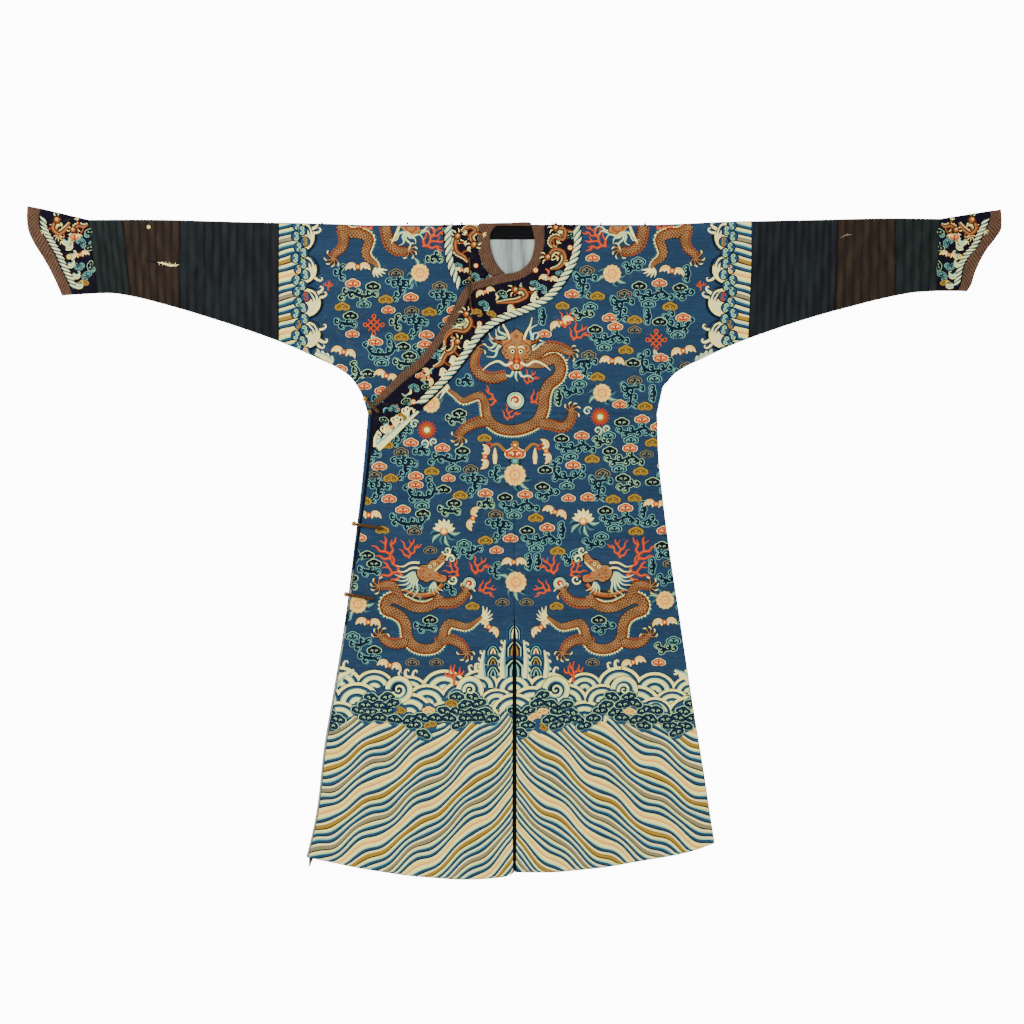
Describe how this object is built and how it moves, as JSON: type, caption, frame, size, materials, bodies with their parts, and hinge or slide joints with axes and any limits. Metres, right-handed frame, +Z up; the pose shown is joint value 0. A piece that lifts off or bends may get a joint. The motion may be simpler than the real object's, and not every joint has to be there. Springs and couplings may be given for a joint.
{
  "type": "chinese dragon robe",
  "caption": "Side-fastening silk tapestry dragon robe with ribbed sleeves and horse-hoof cuffs, laid flat with its front side up.",
  "frame": {"origin": "under the middle of the robe's bounding box, on the surface that it lies on", "axes": "+X towards the wearer's left sleeve, +Y from the hem towards the neck, +Z up off the surface, out of the robe's front"},
  "size_m": [2.0804, 1.4374, 0.0185],
  "materials": {
    "blue_tapestry": "blue silk tapestry with woven dragons, clouds and striped waves, soft sheen",
    "collar_tapestry": "near-black silk tapestry with small woven dragons, clouds and a rope border",
    "brown_brocade": "brown brocade with a fine metallic fret",
    "navy_ribbed_silk": "dark navy ribbed silk, faded on the ribs",
    "brown_ribbed_silk": "dark brown ribbed silk, worn, with a few holes",
    "green_ribbed_silk": "dark green ribbed silk, faded on the ribs",
    "black_silk": "black silk",
    "pale_lining": "pale grey-blue silk lining",
    "braid": "brown braided silk cord",
    "brass": "worn gilt brass"
  },
  "bodies": {
    "root": {"left_back": "blue_tapestry", "right_back": "blue_tapestry", "left_front": "blue_tapestry", "under_flap": "blue_tapestry", "outer_flap": "blue_tapestry", "outer_flap_binding": "black_silk", "back_neck_facing": "black_silk", "neck_lining": "pale_lining", "collar_facing_inner": "collar_tapestry", "collar_facing_outer": "collar_tapestry", "collar_edging_inner": "brown_brocade", "collar_edging_outer": "brown_brocade", "left_sleeve_navy": "navy_ribbed_silk", "left_sleeve_brown": "brown_ribbed_silk", "left_sleeve_green": "green_ribbed_silk", "left_cuff": "collar_tapestry", "left_cuff_edging": "brown_brocade", "right_sleeve_navy": "navy_ribbed_silk", "right_sleeve_brown": "brown_ribbed_silk", "right_sleeve_green": "green_ribbed_silk", "right_cuff": "collar_tapestry", "right_cuff_edging": "brown_brocade", "side_button_1": "brass", "side_button_2": "brass", "side_button_3": "brass", "neck_knot": "brass", "side_cord_1": "braid", "side_cord_2": "braid", "side_cord_3": "braid", "neck_strap_upper": "braid", "neck_strap_lower": "braid", "hem_tip": "brown_brocade"}
  },
  "joints": []
}
